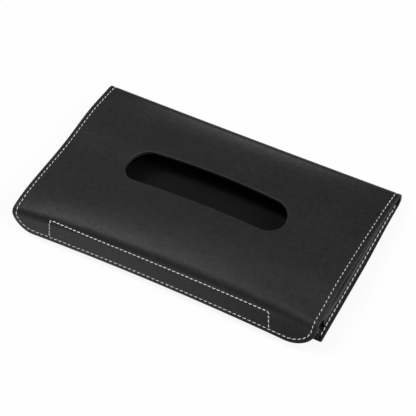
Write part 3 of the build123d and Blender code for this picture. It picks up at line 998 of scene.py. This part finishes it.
# %% [markdown]
# Everything else is a closed loop carried along a line: walls, bands and stitches. One
# function joins the loops, and closes the two ends with flat faces.

# %% Loops carried along a line
def tube_faces(rings, around):
    """Faces of a tube whose rings have the same number of points, with closed ends."""
    index = np.arange(rings * around).reshape(rings, around)
    following = np.roll(index, -1, axis=1)
    sides = np.stack([index[:-1], following[:-1], following[1:], index[1:]], -1)
    faces = sides.reshape(-1, 4).tolist()
    return faces + [index[0, ::-1].tolist(), index[-1].tolist()]


def outside_out(points, faces):
    """The faces, all reversed when the body that they close has a negative volume."""
    a, b, c, d = points[np.array(faces[:-2])].transpose(1, 0, 2)
    volume = (a * (np.cross(b, c) + np.cross(c, d))).sum()
    return faces if volume > 0 else [face[::-1] for face in faces]


def tube_piece(name, loops, material, smooth=True):
    """A piece from loops of points: the first axis runs along it, the second round it."""
    points = loops.reshape(-1, 3)
    faces = outside_out(points, tube_faces(*loops.shape[:2]))
    return make_piece(name, points, faces, material, smooth)


# %% [markdown]
# Three walls stand on the back and keep the tissues in. Each is a strip of leather folded
# over a thin board, with the end of its outer leaf turned out as a flange and sewn to the
# back. The side walls bow out a little in the middle of their length and draw in at the
# front, and they taper away towards the spine.

# %% Folded strip
WALL_GAP = 1.0
FOLD_RADIUS = 0.9


def strip_path(height, lean, flange):
    """Middle line of the folded strip, as points out and up from the foot. A flange, a
    fold, the outer leaf, a half turn over the board and the inner leaf."""
    n = 7
    up = np.array([np.sin(lean), np.cos(lean)])
    inward = np.array([-np.cos(lean), np.sin(lean)])
    half_leather = LEATHER / 2
    start = np.array([FOLD_RADIUS + half_leather, half_leather])
    fold_centre = start * [0, 1] + [FOLD_RADIUS - half_leather, FOLD_RADIUS]
    turn = np.linspace(-np.pi / 2, -np.pi + lean, n)
    fold = fold_centre + FOLD_RADIUS * np.stack([np.cos(turn), np.sin(turn)], -1)
    top_radius = (WALL_GAP + LEATHER) / 2
    top_centre = fold[-1] + up * (height - FOLD_RADIUS - top_radius) + inward * top_radius
    turn = np.linspace(0, np.pi, n)[:, None]
    top = top_centre - inward * top_radius * np.cos(turn) + up * top_radius * np.sin(turn)
    foot = top[-1] - up * (top[-1][1] - half_leather / 2) / up[1]
    outer_end = np.array([[flange, half_leather]])
    leaf = fold[-1] + (top[0] - fold[-1]) * np.linspace(0, 1, n)[1:-1, None]
    inner = top[-1] + (foot - top[-1]) * np.linspace(0, 1, n)[1:, None]
    return np.vstack([outer_end, fold, leaf, top, inner])


def leftwards(path):
    """Unit vectors square to a path, to the left of where it goes."""
    along = unit(np.gradient(path, axis=0))
    return np.stack([-along[:, 1], along[:, 0]], -1)


def strip_loop(path):
    """Outline of the strip: its middle line moved by half the leather to each side."""
    half_ply = leftwards(path) * LEATHER / 2
    return np.vstack([path + half_ply, (path - half_ply)[::-1]])


# %% Side walls and their boards
FOOT_X = half - 2.3
FOOT_Z = back_z + 2.0
SIDE_FLANGE = 1.8
SIDE_NEAR = near_y + 10.5
SIDE_FAR = spine_y - 9.0
SIDE_HEIGHT = 10.8
SIDE_TAPER = 38.0
SIDE_FAR_HEIGHT = 2.4
NEAR_DIP = 1.2
NEAR_DIP_RUN = 1.4
SIDE_LEAN = 12.0
SIDE_LEAN_RUN = 7.0
FAR_LEAN = 3.0
FAR_LEAN_START = 15.0
FAR_LEAN_RUN = 30.0
WALL_BOARD = 0.9
WALL_BOARD_FOOT = 1.3
WALL_BOARD_SHORTER = 2.6
WALL_BOARD_LEAST = 0.6
SIDES = (("left", -1), ("right", 1))


def side_shape(y):
    """Height and lean of a side wall at y. The wall stands upright at its near end, leans
    out further on and a little less far on, and its height tapers over the far stretch."""
    taper = np.clip((y - SIDE_FAR + SIDE_TAPER) / SIDE_TAPER, 0, 1)
    height = SIDE_HEIGHT + (SIDE_FAR_HEIGHT - SIDE_HEIGHT) * taper
    height -= NEAR_DIP * np.exp(-((y - SIDE_NEAR) / NEAR_DIP_RUN) ** 2)
    lean = SIDE_LEAN * (1 - np.exp(-np.maximum(y - SIDE_NEAR, 0) / SIDE_LEAN_RUN))
    lean -= FAR_LEAN * ease(y, FAR_LEAN_START, FAR_LEAN_RUN)
    return height, np.radians(lean)


def side_strip(height, lean):
    """Section of a side wall's leather."""
    return strip_loop(strip_path(height, lean, SIDE_FLANGE))


def side_board(height, lean):
    """Section of the board between a wall's leaves: four corners."""
    up = np.array([np.sin(lean), np.cos(lean)])
    inward = np.array([-np.cos(lean), np.sin(lean)])
    foot = inward * (LEATHER + GLUE) + up * WALL_BOARD_FOOT
    rise = up * max(height - WALL_BOARD_SHORTER, WALL_BOARD_LEAST)
    across_board = inward * WALL_BOARD
    return foot + np.array([0 * up, rise, rise + across_board, across_board])


def along_side(side, rows, section_at):
    """Loops along a side wall: at each y a section, given as points out and up from the
    foot, stands on the sagging back."""
    loops = []
    for y in rows:
        out, up = section_at(*side_shape(y)).T
        z = FOOT_Z - BACK_SAG * free_back(half, y - near_y) + up
        loops.append(np.stack([side * (FOOT_X + out), np.full(len(up), y), z], -1))
    return np.array(loops)


wall_rows = np.r_[SIDE_NEAR + spread(0, 6, 0.6), spread(SIDE_NEAR + 8, SIDE_FAR, 2.5)]
board_rows = spread(SIDE_NEAR + 1, SIDE_FAR - 1, 3.0)
for name, side in SIDES:
    wall = tube_piece(f"{name}_wall", along_side(side, wall_rows, side_strip), leather)
    add_mark(wall, "wear_and_rim_highlight", 0.0)
    stand_on(wall, "base", f"{name}_side_wall")
    loops = along_side(side, board_rows, side_board)
    board = tube_piece(f"{name}_wall_stiffener", loops, grey_board, smooth=False)
    stand_on(board, "base", f"{name}_side_board")

# %% Front wall
FRONT_HALF = half - 2.0
FRONT_FOOT_Y = near_y + 2.9
FRONT_FLANGE = 2.4
FRONT_HEIGHT = 13.2
FRONT_CORNER = 4.0
FRONT_LEAN = np.radians(19.0)


def front_loops():
    """Loops along the front wall. At its two ends the height follows a quarter circle."""
    rows = np.r_[spread(-FRONT_HALF, -FRONT_HALF + 6, 0.75), spread(-FRONT_HALF + 9, 0, 6.0)]
    loops = []
    for x in np.unique(np.r_[rows, -rows]):
        corner = FRONT_CORNER - np.clip(FRONT_HALF - abs(x), 0, FRONT_CORNER)
        chord = np.sqrt(np.maximum(FRONT_CORNER**2 - corner**2, 0.3))
        height = FRONT_HEIGHT - FRONT_CORNER + chord
        out, up = strip_loop(strip_path(height, FRONT_LEAN, FRONT_FLANGE)).T
        loops.append(np.stack([np.full(len(up), x), FRONT_FOOT_Y - out, FOOT_Z + up], -1))
    return np.array(loops)


front_leaf = tube_piece("front_leaf", front_loops(), leather)
add_mark(front_leaf, "wear_and_rim_highlight", 0.0)
stand_on(front_leaf, "base", "front_wall")

# %% [markdown]
# White thread, sewn by machine. Each stitch is a short bead of twisted thread that rises
# from one hole and dips into the next. The rows follow the sheet, so a row is a line in
# x and s, walked in even steps.

# %% Thread
def thread_finish():
    finish = Finish("seam_thread", Roughness=0.6, Specular_IOR_Level=0.4, Sheen_Weight=0.2)
    where = finish.place()
    strands = finish.noise(where, 0.16, detail=2.0)
    dust = finish.noise(where, 9.0, detail=2.0)
    colour = finish.mix(strands * 0.6 + dust * 0.4, grey(0.55, 0.02), grey(0.80, 0.02))
    return finish.wire(Base_Color=colour, Normal=finish.relief(strands, 0.06))


seam_thread = thread_finish()
STITCH_WIDTH = 0.54
STITCH_HEIGHT = 0.46
STITCH_GAP = 1.0
STITCH_SLANT = np.radians(7.0)
STITCH_SIDES = 6
STITCH_RISE = 0.12
STITCH_DIP = 0.36
STITCH_LIFT = 0.02
SEAM_STEP = 0.5
TURN_REACH = 0.4


def stitch_shape():
    """One stitch in its own axes, from -0.5 to 0.5 along. Its girth swells towards the
    middle, and its ends dip by the sixth power of the way from the middle."""
    along = np.array([-0.5, -0.45, -0.3, 0.3, 0.45, 0.5])
    girth = np.array([0.5, 0.85, 1.0, 1.0, 0.85, 0.5])
    turn = np.arange(STITCH_SIDES) * 2 * np.pi / STITCH_SIDES
    sideways = np.outer(girth, np.cos(turn)) * STITCH_WIDTH / 2
    up = np.outer(girth, np.sin(turn)) * STITCH_HEIGHT / 2
    up += (STITCH_RISE - STITCH_DIP * (2 * along) ** 6)[:, None]
    return np.stack([np.repeat(along[:, None], STITCH_SIDES, 1), sideways, up], -1)


def on_line(line, length, at):
    """Points of a line at some lengths along it."""
    return np.stack([np.interp(at, length, line[:, k]) for k in range(3)], -1)


def lay_stitches(name, rows):
    """Stitches along rows of points, given as (line, normals, pitch, fullness). Each row
    is walked by its length over the pitch, and the stitch turns with the row and its
    surface. A full stitch is thicker by its fullness and leaves that much less gap."""
    shape = stitch_shape()
    stitches = []
    for line, normals, pitch, fullness in rows:
        length = np.r_[0, np.cumsum(np.linalg.norm(np.diff(line, axis=0), axis=1))]
        number = max(int(round(length[-1] / pitch)), 1)
        step = length[-1] / number
        middles = (np.arange(number) + 0.5) * step
        at, out = on_line(line, length, middles), unit(on_line(normals, length, middles))
        ahead = on_line(line, length, middles + TURN_REACH)
        along = ahead - on_line(line, length, middles - TURN_REACH)
        along = unit(along - out * (along * out).sum(1, keepdims=True))
        turned = along * np.cos(STITCH_SLANT) + np.cross(out, along) * np.sin(STITCH_SLANT)
        axes = np.stack([turned, np.cross(out, turned), out], 1)
        sizes = [step - STITCH_GAP / fullness, fullness, fullness]
        stitches.append(at[:, None] + (shape.reshape(-1, 3) * sizes) @ axes)
    stitches = np.concatenate(stitches)
    template = outside_out(stitches[0], tube_faces(*shape.shape[:2]))
    starts = np.arange(len(stitches)) * stitches.shape[1]
    faces = [[i + start for i in face] for start in starts.tolist() for face in template]
    print(name, "stitches:", len(stitches))
    piece = make_piece(name, stitches.reshape(-1, 3), faces, seam_thread)
    return piece


def sheet_row(x, s, pitch, fullness=1.0):
    """A row on the outer sheet, along a line in x and s."""
    return sheet(x, s, -STITCH_LIFT), sheet_normal(x, s), pitch, fullness


def walked(x, s, trim=0.0):
    """A line in x and s with its points set at even steps, cut by trim at both ends."""
    walk = np.r_[0, np.cumsum(np.hypot(np.diff(x), np.diff(s)))]
    even = spread(trim, walk[-1] - trim, SEAM_STEP)
    return np.interp(even, walk, x), np.interp(even, walk, s)


# %% Seams of the sheet
LID_PITCHES = {-1: 3.45, 1: 3.3}
LID_FULLNESS = {-1: 1.0, 1: 0.8}
FLAP_PITCH = 3.65
PANEL_PITCH = 3.28
PANEL_FULLNESS = 1.25
PANEL_CORNER = 1.6
PANEL_TRIM = 0.9
SPINE_PITCH = 3.4


def side_line(side, start, end):
    """The seam beside a straight edge, between two s."""
    s = spread(start, end, SEAM_STEP)
    return side * (half - seam_inset(s)), s


def flap_line():
    """The seam round the flap: from the right side round both corners to the left."""
    turn = np.linspace(0, np.pi / 2, 30)
    quarters = []
    for side, radius in ((1, RIGHT_CORNER), (-1, LEFT_CORNER)):
        r = radius - LID_SEAM_INSET
        x = side * (half - radius + r * np.cos(turn))
        quarters.append(np.stack([x, S_END - radius + r * np.sin(turn)])[:, ::side])
    return walked(*np.hstack(quarters))


def panel_line():
    """The trapezoid: up one side, along the top and down, with small round corners."""
    turn = np.linspace(0, np.pi / 2, 8)
    right_x = PANEL_TOP_HALF - PANEL_CORNER + PANEL_CORNER * np.sin(turn)
    right_s = PANEL_TOP + PANEL_CORNER - PANEL_CORNER * np.cos(turn)
    x = np.r_[-PANEL_FOOT_HALF, -right_x[::-1], right_x, PANEL_FOOT_HALF]
    s = np.r_[PANEL_FOOT, right_s[::-1], right_s, PANEL_FOOT]
    x, s = walked(x, s, PANEL_TRIM)
    return x + PANEL_SHIFT, s


lid_rows = [
    sheet_row(*side_line(side, SPLIT, S_END - corner), LID_PITCHES[side], LID_FULLNESS[side])
    for side, corner in ((1, RIGHT_CORNER), (-1, LEFT_CORNER))
]
flap_stitches = lay_stitches("flap_stitches", lid_rows + [sheet_row(*flap_line(), FLAP_PITCH)])
panel_row = sheet_row(*panel_line(), PANEL_PITCH, PANEL_FULLNESS)
panel_stitches = lay_stitches("panel_stitches", [panel_row])
spine_rows = [sheet_row(*side_line(side, S_SPINE, SPLIT), SPINE_PITCH) for side in (-1, 1)]
spine_stitches = lay_stitches("spine_stitches", spine_rows)
follow_flap(flap_stitches, "lid_seams", "bend_seams", "flap_edge_seam")
follow_flap(panel_stitches, "flap_panel_seam")
follow_lid(spine_stitches, "spine_seams")

# %% Seam round the back, seen on the flanges and under the back
BACK_PITCH = 3.7
FLANGE_FULLNESS = 1.4
FLANGE_STEP = 1.5
NEAR_TRIM = 3.5
FAR_TRIM = 1.0
FRONT_TRIM = 1.4


def back_line():
    """The seam under the back: down one side, along the near edge and up the other."""
    r = BACK_CORNER - BACK_SEAM_INSET
    turn = np.linspace(0, np.pi / 2, 8)
    x = half - BACK_CORNER + r * np.cos(turn)
    s = BACK_CORNER - r * np.sin(turn)
    return walked(np.r_[x[0], x, -x[::-1], -x[0]], np.r_[S_SPINE, s, s[::-1], S_SPINE])


def flange_height(y):
    """Top of what the row lies on: the flange, and the back beyond its two ends."""
    on_flange = ease(y, SIDE_NEAR - FLANGE_STEP, FLANGE_STEP)
    on_flange = on_flange * ease(SIDE_FAR + FLANGE_STEP - y, 0.0, FLANGE_STEP)
    top = BOARD_END + back_z + (FOOT_Z + LEATHER - BOARD_END - back_z) * on_flange
    return top - BACK_SAG * free_back(half, y - near_y)


def level_row(x, y, top):
    """A row of full stitches that lies level, a little above what carries it."""
    line = np.stack(np.broadcast_arrays(x, y, top + STITCH_LIFT), -1)
    return line, np.tile([0.0, 0.0, 1.0], (len(line), 1)), BACK_PITCH, FLANGE_FULLNESS


row_x = half - BACK_SEAM_INSET
row_y = spread(near_y + NEAR_TRIM, spine_y - FAR_TRIM, SEAM_STEP)
front_x = spread(-FRONT_HALF + FRONT_TRIM, FRONT_HALF - FRONT_TRIM, SEAM_STEP)
base_rows = [sheet_row(*back_line(), BACK_PITCH)]
base_rows += [level_row(side * row_x, row_y, flange_height(row_y)) for side in (-1, 1)]
base_rows += [level_row(front_x, near_y + BACK_SEAM_INSET, FOOT_Z + LEATHER)]
base_stitches = lay_stitches("base_stitches", base_rows)
stand_on(base_stitches, "base", "base_seam")

# %% [markdown]
# Two black elastic bands cross the back and hold the case on a sun visor. They are woven
# with fine ribs along their length, go in through slits and are sewn down inside.

# %% Elastic bands
BAND_X = half - 45.0
BAND_HALF = 10.0
BAND_NEAR = near_y + 14.0
BAND_FAR = spine_y - 12.0
BAND_TAIL = 9.0
BAND_THICKNESS = 1.0
BAND_CORNER = 0.62
BAND_ROUNDING = 0.3
BAND_PRESSED = 0.96
TACK_HALF = 8.0
TACK_GAP = 2.0
TACK_PITCH = 2.6


def elastic_finish():
    finish = Finish("visor_elastic", Roughness=0.8, Specular_IOR_Level=0.3)
    where = finish.place()
    ribs = (finish.axis(where, 0) * (2 * np.pi / (1.25 * MM))).sine() * 0.5 + 0.5
    picks = (finish.axis(where, 1) * (2 * np.pi / (0.7 * MM))).sine() * 0.5 + 0.5
    weave = ribs * 0.7 + picks * 0.3
    colour = finish.mix(weave, grey(0.006), grey(0.022))
    return finish.wire(Base_Color=colour, Normal=finish.relief(weave, 0.22, 0.8))


def band_path():
    """Middle line of a band in y and z: tail, slit, the run under the back, slit, tail.
    Each corner is a quarter turn."""
    low = BAND_THICKNESS / 2
    high = back_z + LEATHER + GLUE + (BAND_THICKNESS - GLUE) / 2
    r, near = BAND_CORNER, BAND_NEAR + BAND_THICKNESS / 2
    turn = np.linspace(0, np.pi / 2, 6)
    inner = np.stack([near + r - r * np.sin(turn), high - r + r * np.cos(turn)], -1)
    outer = np.stack([near + r - r * np.cos(turn), low + r - r * np.sin(turn)], -1)
    one = np.vstack([[[BAND_NEAR + BAND_TAIL, high]], inner, outer])
    return np.vstack([one, (one * [-1, 1] + [BAND_NEAR + BAND_FAR, 0])[::-1]])


def band_loops(side):
    """At each point of the band's path a flat loop with round long edges."""
    path = band_path()
    r = BAND_ROUNDING
    turn = np.linspace(0, 2 * np.pi, 17)[:-1]
    flat_x = np.sign(np.cos(turn)) * (BAND_HALF - r) + r * np.cos(turn)
    flat_z = np.sign(np.sin(turn) + 1e-9) * (BAND_THICKNESS / 2 - r) + r * np.sin(turn)
    x = np.tile(side * BAND_X + flat_x, (len(path), 1))
    yz = path[:, None] + leftwards(path)[:, None] * flat_z[None, :, None] * BAND_PRESSED
    return np.dstack([x, yz])


visor_elastic = elastic_finish()
for name, side in SIDES:
    band = tube_piece(f"{name}_band", band_loops(side), visor_elastic)
    stand_on(band, "base", f"elastic_band_{name}")

tack_x = spread(-TACK_HALF, TACK_HALF, SEAM_STEP)
tack_rows = [
    sheet_row(side * BAND_X + tack_x, np.full(len(tack_x), y - near_y), TACK_PITCH)
    for side in (-1, 1)
    for y in (BAND_NEAR - TACK_GAP, BAND_FAR + TACK_GAP)
]
tacks = lay_stitches("band_stitches", tack_rows)
stand_on(tacks, "base", "band_tacks")

# %% [markdown]
# The magnets are plated steel-bright blocks, dulled by handling.

# %% Magnets
MAGNET_ROUNDING = 0.3
plating = Finish("magnet_plating", Metallic=1.0, Specular_IOR_Level=0.5)
scuffs = plating.noise(plating.place(), 2.0, detail=5.0)
plating.wire(
    Base_Color=plating.mix(scuffs, (0.42, 0.41, 0.39, 1), (0.60, 0.59, 0.57, 1)),
    Roughness=0.25 + scuffs * 0.2,
)


def magnet_edge(x, s):
    """Distance inside the nearer magnet."""
    return -np.maximum(*off_magnet(x, s))


def magnet_block(side):
    """Points and faces of one magnet: a ply over its place on the flap."""
    x = side * MAGNET_X + np.linspace(-1, 1, 11) * (MAGNET_LENGTH / 2 - MAGNET_ROUNDING)
    s = S_MAGNET + np.linspace(-1, 1, 6) * (MAGNET_HEIGHT / 2 - MAGNET_ROUNDING)
    place = plain_net(*np.meshgrid(x, s, indexing="ij"))
    top = STACK + 2 * GLUE
    depths = (top, top + MAGNET_THICKNESS)
    return shell(place, *depths, MAGNET_ROUNDING, magnet_edge, on_flap)[:2]


(left_points, left_faces), (right_points, right_faces) = magnet_block(-1), magnet_block(1)
space = np.vstack([left_points, right_points])
faces = np.vstack([left_faces, right_faces + len(left_points)])
flap_magnets = make_piece("flap_magnet_pair", space, faces, plating.material)
stand_on(flap_magnets, "flap", "flap_magnets")
dress("wall_magnets", plating.material)

# %% [markdown]
# The case lies on a white table that runs out of sight. The table looks white to the
# camera and in reflections, and still takes a faint shadow.

# %% Table
TABLE_REACH = 6.0


def table_finish():
    """White that is mostly its own light to the camera and in mirrors, where the sum of
    three kinds of ray is one, and plain white paint to all other light."""
    finish = Finish("table_white", Roughness=0.9, Base_Color=grey(0.8))
    seen = finish.node("LightPath", output="Is Camera Ray")
    seen = seen + finish.node("LightPath", output="Is Glossy Ray")
    seen = (seen + finish.node("LightPath", output="Is Transmission Ray")).up_to(1.0)
    glow = finish.node("Emission", {}, {"Color": grey(1.0), "Strength": 1.0})
    lit = Wire(finish, finish.shader.outputs[0])
    mixed = finish.node("MixShader", {}, {0: seen * 0.9, 1: lit, 2: glow})
    finish.feed(finish.tree.nodes["Material Output"].inputs["Surface"], mixed)
    return finish.material


mesh = bpy.data.meshes.new("table")
rim = [(x * TABLE_REACH, y * TABLE_REACH, 0) for x, y in ((-1, -1), (1, -1), (1, 1), (-1, 1))]
mesh.from_pydata(rim, [], [(0, 1, 2, 3)])
mesh.materials.append(table_finish())
table = add_object("table", mesh)
print("table:", 2 * TABLE_REACH, "m wide")

# %% [markdown]
# A large soft lamp at the right lights the case evenly, and the camera sees no reflection
# of it. A weaker strip light hangs over the left, where the lid's last stretch before the
# near bend mirrors it as a soft light band. The lid falls away to the right there, so the
# right end mirrors a point further over, where a small lamp hangs. The rest of the room is
# a dim grey.

# %% Lamps
def make_lamp(name, place, target, size, power):
    """A soft lamp, size wide and high, that looks at a point."""
    lamp = add_object(name, bpy.data.lights.new(name, "AREA"))
    lamp.data.shape = "RECTANGLE"
    lamp.data.size, lamp.data.size_y = size
    lamp.data.energy = power
    lamp.location = place
    lamp.rotation_mode = "QUATERNION"
    lamp.rotation_quaternion = (Vector(target) - Vector(place)).to_track_quat("-Z", "Y")
    print(name, power, "W")


make_lamp("soft_box", (1.6, 0.05, 1.3), (0, 0, 0.02), (1.1, 1.1), 29)
make_lamp("strip_light", (-0.58, -0.05, 1.1), (0, -0.05, 0.02), (0.25, 0.6), 9.2)
make_lamp("top_light", (0.08, -0.07, 1.1), (0.08, -0.05, 0.02), (0.16, 0.24), 1.1)

world = bpy.data.worlds.new("studio")
bpy.context.scene.world = world
world.use_nodes = True
world.node_tree.nodes["Background"].inputs["Color"].default_value = grey(0.2)
bpy.context.scene.view_settings.view_transform = "Standard"
